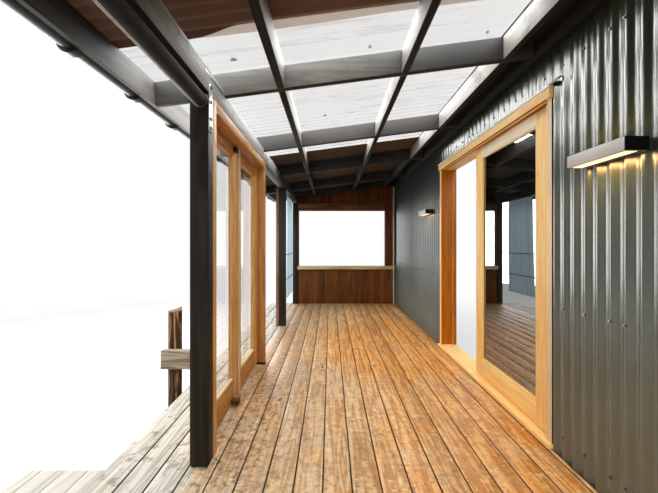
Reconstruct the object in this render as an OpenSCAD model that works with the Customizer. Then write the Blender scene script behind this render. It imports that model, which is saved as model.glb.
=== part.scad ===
// Covered verandah of a beach house: the clad house wall, timber deck, lean-to
// roof, sliding door, glazed folding screen and end wall, from ground level up.
// Plan frame: x = 0 on the crest of the wall cladding and negative outwards,
// y = 0 at the near end, z = 0 on the ground.

/* [Deck] */
// Height of the deck surface above the ground
deck_h = 400; // [380:5:450]
// Width of the deck from the wall cladding to its outer edge
deck_w = 2500; // [2300:5:2600]
// Thickness of the deck boards
board_t = 32; // [25:1:35]
// Depth of the joists and of the bearers
joist_d = 140; // [120:1:145]
// Width of the joists, rafters and blocking
stick_w = 45; // [40:1:50]
// Distance from the deck edge to the outer edge of the step
step_w = 650; // [500:5:750]
// Length of the step, from the near end
step_len = 3314; // [2500:2:4000]
// Height of the step surface above the ground
step_h = 205; // [180:5:230]

/* [Posts and beam] */
// Distance between post fronts in the two long bays
bay_len = 3000; // [2900:10:3100]
// Distance between post fronts in the short end bay
end_bay = 1770; // [1700:10:1850]
// Post width across the verandah
post_w = 100; // [90:1:110]
// Post depth along the verandah
post_d = 75; // [70:1:80]
// Distance from the wall to the inner face of the posts
post_in = 1954; // [1900:2:2000]
// Height of the underside of the eave beam above the deck
beam_low = 2017; // [2000:1:2040]
// Height of the top of the eave beam above the deck
beam_top = 2140; // [2130:1:2150]

/* [Roof] */
// Height of the rafter undersides above the deck, at the wall
roof_low = 2369; // [2350:1:2390]
// Fall of the roof for each unit of run
roof_fall = 0.13; // [0.11:0.005:0.14]
// Depth of the rafters
rafter_d = 140; // [130:1:145]
// Distance between rafter fronts
rafter_gap = 1185; // [1150:5:1200]
// Front of the first inner rafter
rafter_first = 944; // [900:2:960]
// Distance from the wall to the inner face of the fascia
fascia_in = 2385; // [2350:5:2400]
// Radius of the half-round gutter
gutter_r = 43; // [40:1:60]
// Start of the clear roof sheets
clear_from = 2936; // [2800:2:3000]
// End of the clear roof sheets
clear_to = 5194; // [5100:2:5400]

/* [Cladding] */
// Distance between the crests of the corrugated sheets
wave_pitch = 76.2; // [70:0.1:80]
// Depth of the corrugated sheets
wave_d = 17; // [14:0.5:20]
// Thickness of the framed wall behind the cladding
wall_t = 150; // [120:5:180]
// Height of the wall top above the deck
wall_top = 2720; // [2650:10:2800]

/* [Sliding door] */
// Near edge of the clear doorway
door_y = 3253; // [3239:2:3263]
// Clear width of the doorway
door_w = 1841; // [1826:5:1856]
// Clear height of the doorway above the deck
door_top = 2060; // [2055:1:2070]
// Width of the sliding leaf
leaf_w = 973; // [950:1:990]
// Thickness of a door leaf
leaf_t = 42; // [38:1:45]
// Width of the stiles of the sliding door
stile_w = 108; // [95:1:115]

/* [Folding screen] */
// Length of the folding screen beyond the door post
screen_len = 1469; // [1400:1:1500]
// Depth of the screen's frame
screen_t = 120; // [115:1:125]
// Width of the stiles of the folding leaves
fold_stile = 95; // [85:1:100]

/* [End wall] */
// Height of the ledge above the deck
ledge_top = 760; // [700:5:800]
// Height of the underside of the header above the deck
header_low = 1870; // [1850:5:1890]
// Width of the stud beside the house wall
stud_w = 150; // [130:2:170]

/* [Hidden] */

// Plan values
near_gap = 50;
post_y = [near_gap, near_gap + bay_len, near_gap + 2 * bay_len, near_gap + 2 * bay_len + end_bay];
deck_len = post_y[3] + post_d + 25;
post_out = post_in + post_w;
wall_face = wave_d;
wall_back = wave_d + wall_t;
mid_x = (wall_back - deck_w - step_w) / 2;
mid_y = deck_len / 2;

// Roof values
roof_over = 40;
roof_angle = atan(roof_fall);
rafter_rise = rafter_d / cos(roof_angle);
rafter_count = 6;
rafter_y = concat([0], [for (i = [0:rafter_count - 1]) rafter_first + i * rafter_gap],
                  [deck_len - stick_w]);
ledger_w = 45;
ledger_low = 2330;
ledger_high = 2500;
fascia_t = 25;
fascia_low = 2060;
sheet_reach = fascia_in + fascia_t + 30;
sheet_t = 2;
wave_steps = 6;
purlin_x = [-210, -836, -1605];

// Under-deck values
joist_gap = 440;
joist_top = deck_h - board_t;
bearer_top = joist_top - joist_d;
bearer_w = 90;
pile_w = 125;
pile_top = bearer_top - joist_d;
bearer_x = [-post_in - post_w / 2, -post_in / 2, -150];
edge_t = 25;

// Sliding door values
near_jamb = 44;
far_jamb = 50;
head_t = 75;
head_out = 20;
jamb_out = 6;
door_far = door_y + door_w;
sill_t = 30;
leaf_top = 2050;
leaf_rest_y = door_y + 57;
slide_x = 35;
track_gap = 8;
fixed_x = slide_x + leaf_t + track_gap;
fixed_w = 965;
top_rail = 82;
base_rail = 150;
glass_t = 6;
groove_d = 8;

// Screen values
screen_y = post_y[1] + post_d;
screen_jamb = 54;
screen_head = 62;
fold_t = 45;
fold_pane = 11;
fold_clear = 12;
fold_top_rail = 76;
fold_base_rail = 166;
fold_top = beam_low - screen_head - 10;
fold_w = (screen_len - 2 * screen_jamb) / 2;

// Lamp values
lamp_len = 323;
lamp_h = 58;
lamp_reach = 100;
lamp_low = 1583;
lamp_y = [2634, 5404];
lamp_rim = 14;

// End wall values
end_t = 90;
end_y = deck_len - end_t;
low_wall_top = 692;
rail_d = 150;
corner_gap = 50;

// Left-hand bay values
rail_r = 6;
rail_h = [1030, 640];
rail_x = -post_in - 46;

// Round post beside the deck
edge_x = -2678;
edge_y = 4194;
edge_r = 58;
edge_flat = 12;
edge_top = 1048;
edge_fall = 36;
sleeper_low = 525;
sleeper_high = 685;

// Height of the rafter undersides at a distance x from the wall
function under(x) = deck_h + roof_low + roof_fall * x;

// Height of the rafter tops at a distance x from the wall
function over(x) = under(x) + rafter_rise;

// Puts a piece drawn in the plan frame into the part's own frame
module placed() {
    translate([-mid_x, -mid_y, 0]) children();
}

// A box from one corner to the other
module block(low, high) {
    translate(low) cube(high - low);
}

// Carries a profile drawn in x and z along y
module along(y, length) {
    translate([0, y + length, 0]) rotate([90, 0, 0]) linear_extrude(length) children();
}

// Outline of a corrugated sheet between two places along its width
module wave_outline(from, to) {
    count = ceil((to - from) / wave_pitch * wave_steps);
    step = (to - from) / count;
    swing = (wave_d - sheet_t) / 2;
    crest = [for (i = [0:count]) [swing - swing * cos(360 * (from + i * step) / wave_pitch), from + i * step]];
    back = [for (i = [count:-1:0]) [crest[i][0] + sheet_t, crest[i][1]]];
    polygon(concat(crest, back));
}

// Corrugated roof sheet that lies on the rafters
module roof_sheet(from, to) {
    run = sheet_reach / cos(roof_angle);
    placed()
        translate([-sheet_reach, 0, over(-sheet_reach)])
            rotate([0, 90 - roof_angle, 0])
                linear_extrude(run)
                    translate([-wave_d, 0])
                        wave_outline(from, to);
}

// Strip under the roof slope, used for the rafters and the blocking
module sloped_strip(from_x, to_x) {
    polygon([[from_x, under(from_x)], [to_x, under(to_x)], [to_x, over(to_x)], [from_x, over(from_x)]]);
}

// Door leaf with stiles, rails and a groove for its glass
module leaf_frame(x, y, z, thick, width, height, stile, top, base, pane_x = leaf_t / 2) {
    difference() {
        block([x, y, z], [x + thick, y + width, z + height]);
        block([x - 1, y + stile, z + base], [x + thick + 1, y + width - stile, z + height - top]);
        leaf_pane(x, y, z, width, height, stile, top, base, pane_x);
    }
}

// Glass that sits in the groove of a leaf, its middle pane_x behind the leaf's face
module leaf_pane(x, y, z, width, height, stile, top, base, pane_x = leaf_t / 2) {
    mid = x + pane_x;
    block([mid - glass_t / 2, y + stile - groove_d, z + base - groove_d],
          [mid + glass_t / 2, y + width - stile + groove_d, z + height - top + groove_d]);
}

module deck_boards() {
    color("peru") placed()
        block([-deck_w, 0, joist_top], [-5, deck_len, deck_h]);
}

module deck_joists() {
    count = floor((deck_len - stick_w) / joist_gap);
    step = (deck_len - stick_w) / count;
    color("burlywood") placed()
        for (i = [0:count])
            block([-deck_w + edge_t, i * step, bearer_top], [-5, i * step + stick_w, joist_top]);
}

module deck_bearers() {
    color("burlywood") placed()
        for (x = bearer_x)
            block([x - bearer_w / 2, 0, pile_top], [x + bearer_w / 2, deck_len, bearer_top]);
}

module deck_piles() {
    count = 6;
    step = (deck_len - pile_w) / (count - 1);
    color("tan") placed()
        for (x = bearer_x, i = [0:count - 1])
            block([x - pile_w / 2, i * step, 0], [x + pile_w / 2, i * step + pile_w, pile_top]);
}

module deck_edge_board() {
    color("silver") placed()
        block([-deck_w, 0, bearer_top], [-deck_w + edge_t, deck_len, joist_top]);
}

module step_boards() {
    color("gainsboro") placed()
        block([-deck_w - step_w, 0, step_h - board_t], [-deck_w, step_len, step_h]);
}

module step_frame() {
    outer = -deck_w - step_w;
    color("silver") placed()
        difference() {
            block([outer, 0, 0], [-deck_w, step_len, step_h - board_t]);
            for (i = [0:2]) {
                bay = (step_len - 4 * stick_w) / 3;
                from = stick_w + i * (bay + stick_w);
                block([outer + stick_w, from, -1], [-deck_w - stick_w, from + bay, step_h]);
            }
        }
}

module posts() {
    shoe_t = 8;
    shoe_in = 5;
    color("dimgray") placed()
        for (y = post_y) {
            block([-post_out, y, deck_h + shoe_t], [-post_in, y + post_d, deck_h + beam_low]);
            block([-post_out + shoe_in, y + shoe_in, deck_h],
                  [-post_in - shoe_in, y + post_d - shoe_in, deck_h + shoe_t]);
        }
}

// Cedar strip on the outer face of the post between the two long bays
module post_trim() {
    strip_t = 40;
    strip_w = 45;
    color("chocolate") placed()
        block([-post_out - strip_t, post_y[2], deck_h], [-post_out, post_y[2] + strip_w, deck_h + beam_low]);
}

module post_strap() {
    strap_t = 4;
    strap_w = 50;
    strap_low = 1810;
    strap_high = 2065;
    color("lightgray") placed()
        block([-post_in, post_y[1] + 3, deck_h + strap_low],
              [-post_in + strap_t, post_y[1] + 3 + strap_w, deck_h + strap_high]);
}

module eave_beam() {
    color("slategray") placed()
        block([-post_out, 0, deck_h + beam_low], [-post_in, deck_len, deck_h + beam_top]);
}

module rafters() {
    color("slategray") placed()
        for (y = rafter_y)
            along(y, stick_w) difference() {
                sloped_strip(-fascia_in, -ledger_w);
                translate([-post_out, deck_h]) square([post_w, beam_top]);
            }
}

module purlins() {
    color("dimgray") placed()
        for (i = [0:len(rafter_y) - 2], x = purlin_x)
            along(rafter_y[i] + stick_w, rafter_y[i + 1] - rafter_y[i] - stick_w)
                sloped_strip(x - stick_w / 2, x + stick_w / 2);
}

module wall_ledger() {
    color("black") placed()
        block([-ledger_w, 0, deck_h + ledger_low], [0, deck_len, deck_h + ledger_high]);
}

module fascia_board() {
    outer = -fascia_in - fascia_t;
    color("slategray") placed()
        along(-roof_over, deck_len + 2 * roof_over)
            polygon([[outer, deck_h + fascia_low], [-fascia_in, deck_h + fascia_low],
                     [-fascia_in, over(-fascia_in)], [outer, over(outer)]]);
}

module gutter() {
    wall = 2;
    bracket_w = 40;
    bracket_t = 14;
    bracket_gap = 470;
    bracket_first = 390;
    bracket_count = floor((deck_len - bracket_first - bracket_w) / bracket_gap);
    centre_z = deck_h + fascia_low + 40;
    centre_x = -fascia_in - fascia_t - gutter_r;
    color("darkslategray") placed() {
        along(-roof_over, deck_len + 2 * roof_over)
            half_ring(centre_x, centre_z, gutter_r, gutter_r - wall);
        for (i = [0:bracket_count])
            along(bracket_first + i * bracket_gap, bracket_w)
                half_ring(centre_x, centre_z, gutter_r + bracket_t, gutter_r - wall);
        for (y = [-roof_over, deck_len + roof_over - wall])
            along(y, wall) half_ring(centre_x, centre_z, gutter_r, 0);
    }
}

// Lower half of a ring round a centre in x and z, kept outside the fascia
module half_ring(x, z, outer, inner) {
    intersection() {
        translate([x, z]) difference() {
            circle(r = outer, $fn = 64);
            if (inner > 0) circle(r = inner, $fn = 64);
        }
        translate([x - outer, z - outer]) square([outer + gutter_r, outer]);
    }
}

module roof_near() {
    color("saddlebrown") roof_sheet(-roof_over, clear_from);
}

module roof_clear() {
    color("white", 0.6) roof_sheet(clear_from, clear_to);
}

module roof_far() {
    color("saddlebrown") roof_sheet(clear_to, deck_len + roof_over);
}

module roof_apron() {
    leg = 110;
    cover = 230;
    skin = 2;
    lift = wave_d / cos(roof_angle);
    color("darkslategray") placed()
        along(0, deck_len)
            polygon([
                [-cover, over(-cover) + lift], [0, over(0) + lift], [0, over(0) + leg],
                [-skin, over(0) + leg], [-skin, over(-skin) + lift + skin],
                [-cover, over(-cover) + lift + skin]
            ]);
}

module wall_near() {
    color("dimgray") placed()
        block([wall_face, 0, 0], [wall_back, door_y - near_jamb, deck_h + wall_top]);
}

module wall_far() {
    color("dimgray") placed()
        block([wall_face, door_far + far_jamb, 0], [wall_back, deck_len, deck_h + wall_top]);
}

module wall_over_door() {
    color("dimgray") placed()
        block([wall_face, door_y - near_jamb, deck_h + door_top + head_t],
              [wall_back, door_far + far_jamb, deck_h + wall_top]);
}

module wall_under_door() {
    color("dimgray") placed()
        block([wall_face, door_y - near_jamb, 0], [wall_back, door_far + far_jamb, deck_h]);
}

module wall_cladding() {
    foot = 60;
    lap = 12;
    color("dimgray") placed()
        difference() {
            translate([0, 0, foot]) linear_extrude(deck_h + wall_top - foot) wave_outline(0, deck_len);
            block([-1, door_y - near_jamb, deck_h],
                  [wave_d + 1, door_far + far_jamb, deck_h + door_top + head_t + lap]);
        }
}

module door_head() {
    color("darkorange") placed()
        block([-head_out, door_y - near_jamb, deck_h + door_top],
              [wall_back, door_far + far_jamb, deck_h + door_top + head_t]);
}

module door_jambs() {
    foot = deck_h + sill_t;
    head = deck_h + door_top;
    color("darkorange") placed() {
        block([-jamb_out, door_y - near_jamb, foot], [wall_back, door_y, head]);
        block([-jamb_out, door_far, foot], [wall_back, door_far + far_jamb, head]);
    }
}

module door_sill() {
    nose = 30;
    color("darkorange") placed()
        block([-nose, door_y - near_jamb, deck_h], [wall_back, door_far + far_jamb, deck_h + sill_t]);
}

module door_flashing() {
    end = 85;
    from = door_y - near_jamb;
    span = door_w + near_jamb + far_jamb;
    color("black") placed() {
        along(from, span) flashing_profile(wall_face);
        for (y = [from - end, from + span])
            along(y, end) flashing_profile(0);
    }
}

// Lip in front of the door head and the slope that runs back from it
module flashing_profile(back) {
    skin = 3;
    lip = 12;
    fall = 6;
    front = -head_out - skin;
    low = deck_h + door_top + head_t;
    polygon([[front, low - lip], [-head_out, low - lip], [-head_out, low],
             [back, low + fall], [back, low + fall + skin], [front, low + skin]]);
}

module fixed_leaf() {
    foot = deck_h + sill_t;
    color("orange") placed()
        leaf_frame(fixed_x, door_y, foot, leaf_t, fixed_w, door_top - sill_t, stile_w, top_rail, base_rail);
}

module fixed_glass() {
    foot = deck_h + sill_t;
    color("lightblue", 0.4) placed()
        leaf_pane(fixed_x, door_y, foot, fixed_w, door_top - sill_t, stile_w, top_rail, base_rail);
}

module sliding_leaf() {
    clear = 5;
    foot = deck_h + sill_t + clear;
    pull_w = 30;
    pull_h = 160;
    pull_z = deck_h + 950;
    pull_y = leaf_rest_y + leaf_w - stile_w / 2;
    color("orange") placed()
        difference() {
            leaf_frame(slide_x, leaf_rest_y, foot, leaf_t, leaf_w, leaf_top - sill_t - clear,
                       stile_w, top_rail, base_rail);
            block([slide_x - 1, pull_y - pull_w / 2, pull_z], [slide_x + 12, pull_y + pull_w / 2, pull_z + pull_h]);
        }
}

module sliding_glass() {
    clear = 5;
    foot = deck_h + sill_t + clear;
    color("lightblue", 0.4) placed()
        leaf_pane(slide_x, leaf_rest_y, foot, leaf_w, leaf_top - sill_t - clear,
                  stile_w, top_rail, base_rail);
}

module wall_lamps() {
    low = deck_h + lamp_low;
    color("gray") placed()
        for (y = lamp_y)
            difference() {
                block([-lamp_reach, y, low], [0, y + lamp_len, low + lamp_h]);
                lens_at(y);
            }
}

module lamp_lenses() {
    color("khaki") placed()
        for (y = lamp_y) lens_at(y);
}

// Lens let into the underside of a lamp
module lens_at(y) {
    low = deck_h + lamp_low;
    block([-lamp_reach + lamp_rim, y + lamp_rim, low], [-lamp_rim, y + lamp_len - lamp_rim, low + 10]);
}

// Two jambs and a head, with no sill
module screen_frame() {
    outer = -post_in - screen_t;
    high = deck_h + beam_low - screen_head;
    color("chocolate") placed()
        difference() {
            block([outer, screen_y, deck_h], [-post_in, screen_y + screen_len, deck_h + beam_low]);
            block([outer - 1, screen_y + screen_jamb, deck_h - 1],
                  [-post_in + 1, screen_y + screen_len - screen_jamb, high]);
        }
}

// Two folding leaves with their top pins, floor guide and top carrier
module screen_leaves() {
    x = -post_in - screen_t;
    foot = deck_h + fold_clear;
    pin_r = 5;
    guide_y = screen_y + 565;
    carrier_y = screen_y + 620;
    color("chocolate") placed() {
        for (i = [0, 1]) {
            y = screen_y + screen_jamb + i * fold_w;
            leaf_frame(x, y + 2, foot, fold_t, fold_w - 4, fold_top - fold_clear,
                       fold_stile, fold_top_rail, fold_base_rail, fold_pane);
            translate([x + fold_t / 2, y + fold_w / 2, deck_h + fold_top])
                cylinder(r = pin_r, h = 10, $fn = 24);
        }
        block([x + fold_t, guide_y, deck_h + 18], [x + fold_t + 55, guide_y + 50, deck_h + 52]);
        block([x + fold_t, carrier_y, deck_h + fold_top - 50],
              [x + fold_t + 28, carrier_y + 50, deck_h + fold_top + 8]);
    }
}

module screen_glass() {
    x = -post_in - screen_t;
    foot = deck_h + fold_clear;
    color("lightblue", 0.4) placed()
        for (i = [0, 1])
            leaf_pane(x, screen_y + screen_jamb + i * fold_w + 2, foot, fold_w - 4,
                      fold_top - fold_clear, fold_stile, fold_top_rail, fold_base_rail, fold_pane);
}

module end_low_wall() {
    color("sienna") placed()
        block([-post_in, end_y + 10, deck_h], [0, deck_len - 10, deck_h + low_wall_top]);
}

module end_ledge() {
    nose = 40;
    color("wheat") placed()
        block([-post_in, end_y - nose, deck_h + low_wall_top], [0, deck_len, deck_h + ledge_top]);
}

module end_studs() {
    cover = 20;
    inner = -corner_gap - stud_w;
    color("saddlebrown") placed() {
        block([-post_in, end_y, deck_h + ledge_top], [-post_in + cover, deck_len, deck_h + header_low]);
        along(end_y, end_t)
            polygon([[inner, deck_h + ledge_top], [-corner_gap, deck_h + ledge_top],
                     [-corner_gap, under(-corner_gap)], [inner, under(inner)]]);
        block([-corner_gap, end_y + 30, deck_h + ledge_top], [0, deck_len, deck_h + ledger_low]);
    }
}

module end_header() {
    inner = -corner_gap - stud_w;
    color("sienna") placed() {
        along(end_y + 25, end_t - 25)
            polygon([[-post_in, deck_h + header_low], [inner, deck_h + header_low],
                     [inner, under(inner)], [-post_in, under(-post_in)]]);
        block([-post_in, end_y, deck_h + header_low], [inner, end_y + 40, deck_h + header_low + rail_d]);
    }
}

module roller_blind() {
    tube_r = 40;
    cap_r = 43;
    cap_t = 8;
    x = -post_in - 43;
    z = deck_h + 1972;
    from = post_y[0] + post_d;
    to = post_y[1];
    color("black") placed() {
        translate([x, from, z]) rotate([-90, 0, 0]) cylinder(r = tube_r, h = to - from, $fn = 48);
        for (y = [from, to - cap_t]) {
            translate([x, y, z]) rotate([-90, 0, 0]) cylinder(r = cap_r, h = cap_t, $fn = 48);
            block([x - 15, y, z], [x + 15, y + cap_t, deck_h + beam_low]);
        }
    }
}

module bay_rails() {
    from = post_y[2] + post_d;
    color("black") placed()
        for (h = rail_h)
            translate([rail_x, from, deck_h + h])
                rotate([-90, 0, 0]) cylinder(r = rail_r, h = post_y[3] - from, $fn = 24);
}

module bay_curtain() {
    thick = 36;
    width = 800;
    low = 300;
    right = post_y[3] - 256;
    color("lightblue") placed()
        block([-post_out + 2, right - width, deck_h + low], [-post_out + 2 + thick, right, deck_h + beam_low]);
}

module corner_pipe() {
    pipe_r = 16;
    pipe_x = -38;
    pipe_y = end_y - 66;
    color("lightgray") placed()
        translate([pipe_x, pipe_y, deck_h]) cylinder(r = pipe_r, h = ledger_low, $fn = 32);
}

// Round weathered post beside the deck, with a sloped top and a flat for the sleeper
module edge_post() {
    spare = 10;
    color("sienna") placed()
        difference() {
            translate([edge_x, edge_y, 0]) cylinder(r = edge_r, h = edge_top + spare, $fn = 64);
            translate([edge_x - edge_r, edge_y, edge_top - edge_fall])
                rotate([0, -atan(edge_fall / (2 * edge_r)), 0])
                    translate([-edge_r, -edge_r - spare, 0])
                        cube([4 * edge_r, 2 * (edge_r + spare), edge_fall + 2 * spare]);
            block([edge_x - edge_r, edge_y - edge_r, sleeper_low],
                  [edge_x + edge_r, edge_y - edge_r + edge_flat, sleeper_high]);
        }
}

module edge_sleeper() {
    thick = 60;
    reach = 78;
    back = edge_y - edge_r + edge_flat;
    color("silver") placed()
        block([edge_x - reach, back - thick, sleeper_low], [-deck_w + 20, back, sleeper_high]);
}

deck_boards();
deck_joists();
deck_bearers();
deck_piles();
deck_edge_board();
step_boards();
step_frame();
posts();
post_trim();
post_strap();
eave_beam();
rafters();
purlins();
wall_ledger();
fascia_board();
gutter();
roof_near();
roof_clear();
roof_far();
roof_apron();
wall_near();
wall_far();
wall_over_door();
wall_under_door();
wall_cladding();
door_head();
door_jambs();
door_sill();
door_flashing();
fixed_leaf();
fixed_glass();
sliding_leaf();
sliding_glass();
wall_lamps();
lamp_lenses();
screen_frame();
screen_leaves();
screen_glass();
end_low_wall();
end_ledge();
end_studs();
end_header();
roller_blind();
bay_rails();
bay_curtain();
corner_pipe();
edge_post();
edge_sleeper();
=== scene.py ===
"""Covered verandah of a beach house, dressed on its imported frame.

Everything is in metres in the frame's own axes: +Y runs along the house wall, +X towards it and +Z up.
"""

import math

import bpy
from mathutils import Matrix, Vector


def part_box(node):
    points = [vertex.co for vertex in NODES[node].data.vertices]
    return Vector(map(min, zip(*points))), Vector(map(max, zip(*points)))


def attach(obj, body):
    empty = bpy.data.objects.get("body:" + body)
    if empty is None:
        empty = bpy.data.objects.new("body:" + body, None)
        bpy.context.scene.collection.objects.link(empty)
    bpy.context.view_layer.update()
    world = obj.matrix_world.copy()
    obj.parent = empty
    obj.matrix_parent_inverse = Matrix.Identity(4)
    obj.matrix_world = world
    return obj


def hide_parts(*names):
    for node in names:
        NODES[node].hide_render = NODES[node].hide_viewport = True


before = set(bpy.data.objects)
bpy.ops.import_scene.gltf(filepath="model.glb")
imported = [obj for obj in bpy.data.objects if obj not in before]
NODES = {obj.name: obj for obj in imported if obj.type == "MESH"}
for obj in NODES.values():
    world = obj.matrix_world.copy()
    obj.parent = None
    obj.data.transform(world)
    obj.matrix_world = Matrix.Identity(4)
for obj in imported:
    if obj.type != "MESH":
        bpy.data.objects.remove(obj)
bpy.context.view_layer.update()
HOUSE = "verandah"
DOOR = "door_leaf"

DECK_TOP = 0.4
EYE_X = 0.1915
EYE_Y = -2.646
EYE_H = 1.2

POST_IN = -0.4625
WALL_X = 1.4915
END_BOARD = 0.11
ROOF_FALL = 0.13
RAFTER_RISE = 0.14118
ROOF_LOW = 2.769


def under_roof(x):
    """Height of the rafter undersides."""
    return ROOF_LOW + ROOF_FALL * (x - WALL_X)


# The camera stands on the deck and looks straight along it

def set_camera():
    data = bpy.data.cameras.new("verandah_camera")
    data.sensor_width = 36
    data.lens = 17.73
    data.shift_x = -0.002
    data.shift_y = -0.0038
    data.clip_start = 0.02
    data.clip_end = 200
    camera = bpy.data.objects.new("verandah_camera", data)
    bpy.context.scene.collection.objects.link(camera)
    camera.location = (EYE_X, EYE_Y, DECK_TOP + EYE_H)
    camera.rotation_euler = (math.radians(90), 0, 0)
    bpy.context.scene.camera = camera


set_camera()
bpy.context.scene.view_settings.view_transform = "Standard"


# Small tools for nodes. A node goes into the tree of the sockets that it is given

def tone(red, green, blue):
    """A colour of 0 to 255 as linear light."""
    linear = []
    for part in (red, green, blue):
        share = part / 255
        linear.append(share / 12.92 if share <= 0.04045 else ((share + 0.055) / 1.055) ** 2.4)
    return (*linear, 1)


def grey(value):
    """A grey in linear light."""
    return (value, value, value, 1)


def fill(socket, value):
    """Links another socket to an input, or sets its value. A colour of three parts is one of 0 to 255."""
    if isinstance(value, bpy.types.NodeSocket):
        socket.id_data.links.new(value, socket)
    elif socket.type == "RGBA" and len(value) == 3:
        socket.default_value = tone(*value)
    else:
        socket.default_value = value


def feed(node, **inputs):
    """Fills a node's inputs, named with underscores for their spaces."""
    for name, value in inputs.items():
        fill(node.inputs[name.replace("_", " ")], value)


def add(tree, kind, inputs=None, **settings):
    """Adds a node, with its settings and with values or other sockets for its inputs."""
    node = tree.nodes.new("ShaderNode" + kind)
    for name, value in settings.items():
        setattr(node, name, value)
    for name, value in (inputs or {}).items():
        fill(node.inputs[name], value)
    return node


def put(kind, inputs, **settings):
    """Adds a node to the tree of its first linked input, and gives back its outputs."""
    linked = [value for value in inputs.values() if isinstance(value, bpy.types.NodeSocket)]
    return add(linked[0].id_data, kind, inputs, **settings).outputs


def maths(operation, first, second=0.0, third=0.0):
    return put("Math", {0: first, 1: second, 2: third}, operation=operation)[0]


def plus(first, second):
    return maths("ADD", first, second)


def minus(first, second):
    return maths("SUBTRACT", first, second)


def times(first, second):
    return maths("MULTIPLY", first, second)


def times_plus(first, second, third):
    return maths("MULTIPLY_ADD", first, second, third)


def divided(first, second):
    return maths("DIVIDE", first, second)


def larger(first, second):
    return maths("MAXIMUM", first, second)


def away_from(value, middle):
    """How far a value is from a middle one, to either side."""
    return maths("ABSOLUTE", minus(value, middle))


def distance(place, point):
    return put("VectorMath", {0: place, 1: point}, operation="DISTANCE")["Value"]


def separate(place):
    """The X, Y and Z of a place."""
    return put("SeparateXYZ", {"Vector": place})


def stretched(place, scale):
    return put("Mapping", {"Vector": place, "Scale": scale})[0]


# How a pattern that runs along Y is turned to run along another axis
ALONG = {"y": (0, 0, 0), "z": (math.radians(-90), 0, 0), "x": (0, 0, math.radians(90))}


def turned(place, run):
    return put("Mapping", {"Vector": place, "Rotation": ALONG[run]})[0]


def noise(place, scale, detail, roughness=0.5, distortion=0.0):
    return put("TexNoise", {"Vector": place, "Scale": scale, "Detail": detail, "Roughness": roughness,
                            "Distortion": distortion})[0]


def band(value, low, high):
    """0 below low and 1 above high, with a soft step between."""
    return put("MapRange", {"Value": value, "From Min": low, "From Max": high},
               interpolation_type="SMOOTHSTEP")["Result"]


def spread(value, low, high, start=0.0, end=1.0):
    """Lays the range from start to end over low to high."""
    return put("MapRange", {"Value": value, "From Min": start, "From Max": end, "To Min": low,
                            "To Max": high})["Result"]


def ramp(factor, *stops):
    """A colour ramp through (place, colour) stops."""
    colour = put("ValToRGB", {"Fac": factor})["Color"]
    first, *between, last = [(place, tone(*stop)) for place, stop in stops]
    steps = colour.node.color_ramp.elements
    steps[0].position, steps[0].color = first
    steps[1].position, steps[1].color = last
    for place, stop in between:
        steps.new(place).color = stop
    return colour


def mix(factor, first, second, blend="MIX"):
    return put("Mix", {0: factor, 6: first, 7: second}, data_type="RGBA", blend_type=blend)[2]


def shaded(colour, level):
    """A colour times a level of brightness."""
    return mix(1.0, colour, level, "MULTIPLY")


def overlay(colour, mask, share, over):
    """Lays another colour over the first where a mask says, at a share of its strength."""
    return mix(times(mask, share), colour, over)


def new_group(name, takes, gives):
    """A node group with named inputs, floats or a vector where None is given, and named outputs."""
    tree = bpy.data.node_groups.new(name, "ShaderNodeTree")
    for label, default in takes.items():
        kind = "NodeSocketVector" if default is None else "NodeSocketFloat"
        socket = tree.interface.new_socket(name=label, in_out="INPUT", socket_type=kind)
        if default is not None:
            socket.default_value = default
    for label in gives:
        kind = "NodeSocketVector" if label.endswith("Place") else "NodeSocketFloat"
        tree.interface.new_socket(name=label, in_out="OUTPUT", socket_type=kind)
    return tree, tree.nodes.new("NodeGroupInput").outputs, tree.nodes.new("NodeGroupOutput")


def make_figure_group():
    """Figure of sawn timber whose grain runs along Y: growth lines, fibres and knots."""
    tree, given, out = new_group(
        "timber_figure",
        {"Vector": None, "Growth": 9.0, "Lines": 5.0, "Fibre": 260.0, "Knot Spacing": 0.35,
         "Knot Size": 0.06},
        ("Figure", "Fibre", "Knots"))
    place = given["Vector"]
    knots = put("TexVoronoi", {"Vector": stretched(place, (1, 0.42, 1)), "Randomness": 1.0,
                               "Scale": divided(1.0, given["Knot Spacing"])},
                voronoi_dimensions="3D", feature="F1")
    near_knot = divided(knots["Distance"], given["Knot Size"])
    growth = noise(stretched(place, (1, 0.07, 1)), given["Growth"], 2.0, 0.5, 0.25)
    bent = plus(growth, times(band(near_knot, 4.5, 0.5), 0.16))
    turns = times(bent, times(given["Lines"], 6.283))
    feed(out, Figure=times_plus(maths("SINE", turns), 0.5, 0.5),
         Fibre=noise(stretched(place, (1, 0.018, 1)), given["Fibre"], 3.0, 0.65),
         Knots=band(near_knot, 1.3, 0.6))
    return tree


def make_lots_group():
    """A number for each board laid side by side along X, and coordinates of its own for each board."""
    tree, given, out = new_group(
        "board_lots", {"Vector": None, "Pitch": 0.145, "Start": 0.0}, ("Lot", "Edge", "Own Place"))
    across = minus(separate(given["Vector"])["X"], given["Start"])
    count = divided(across, given["Pitch"])
    number = maths("FLOOR", count)
    lot = put("TexWhiteNoise", {"W": number}, noise_dimensions="1D")
    jump = put("VectorMath", {0: lot["Color"], 1: (3.0, 9.0, 5.0)}, operation="MULTIPLY")[0]
    feed(out, Lot=lot["Value"], Edge=times(away_from(minus(count, number), 0.5), 2.0),
         Own_Place=put("VectorMath", {0: given["Vector"], 1: jump}, operation="ADD")[0])
    return tree


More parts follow.
